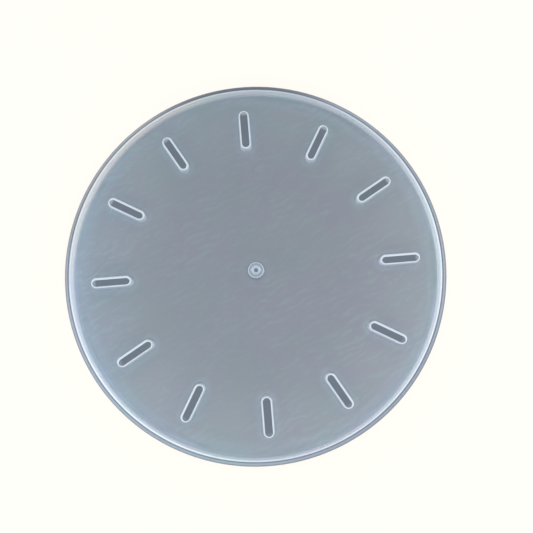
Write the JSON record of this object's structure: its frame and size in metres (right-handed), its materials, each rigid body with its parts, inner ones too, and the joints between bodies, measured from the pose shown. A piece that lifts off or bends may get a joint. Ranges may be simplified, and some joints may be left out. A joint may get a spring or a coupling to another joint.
{
  "type": "round casting mould",
  "caption": "Shallow round silicone casting tray with a raised rim, radial hour bars and a centre post, for casting a clock face.",
  "frame": {"origin": "centre of the underside, on the plane that the mould rests on", "axes": "+Z out of the open side, +Y towards the twelve o'clock bar, +X towards the three o'clock bar"},
  "size_m": [0.2072, 0.2072, 0.0085],
  "materials": {
    "floor_silicone": "translucent blue-grey silicone, smooth, slightly streaked, soft gloss",
    "rim_silicone": "translucent blue-grey silicone, paler where the edge gathers light",
    "bar_silicone": "translucent silicone seen through its full height, darker top and bright rounded edge",
    "post_silicone": "translucent silicone, bright rounded edge and dimple"
  },
  "bodies": {
    "root": {"floor_sheet": "floor_silicone", "rim_wall": "rim_silicone", "shaft_post": "post_silicone", "hour_bar_01": "bar_silicone", "hour_bar_02": "bar_silicone", "hour_bar_03": "bar_silicone", "hour_bar_04": "bar_silicone", "hour_bar_05": "bar_silicone", "hour_bar_06": "bar_silicone", "hour_bar_07": "bar_silicone", "hour_bar_08": "bar_silicone", "hour_bar_09": "bar_silicone", "hour_bar_10": "bar_silicone", "hour_bar_11": "bar_silicone", "hour_bar_12": "bar_silicone"}
  },
  "joints": []
}
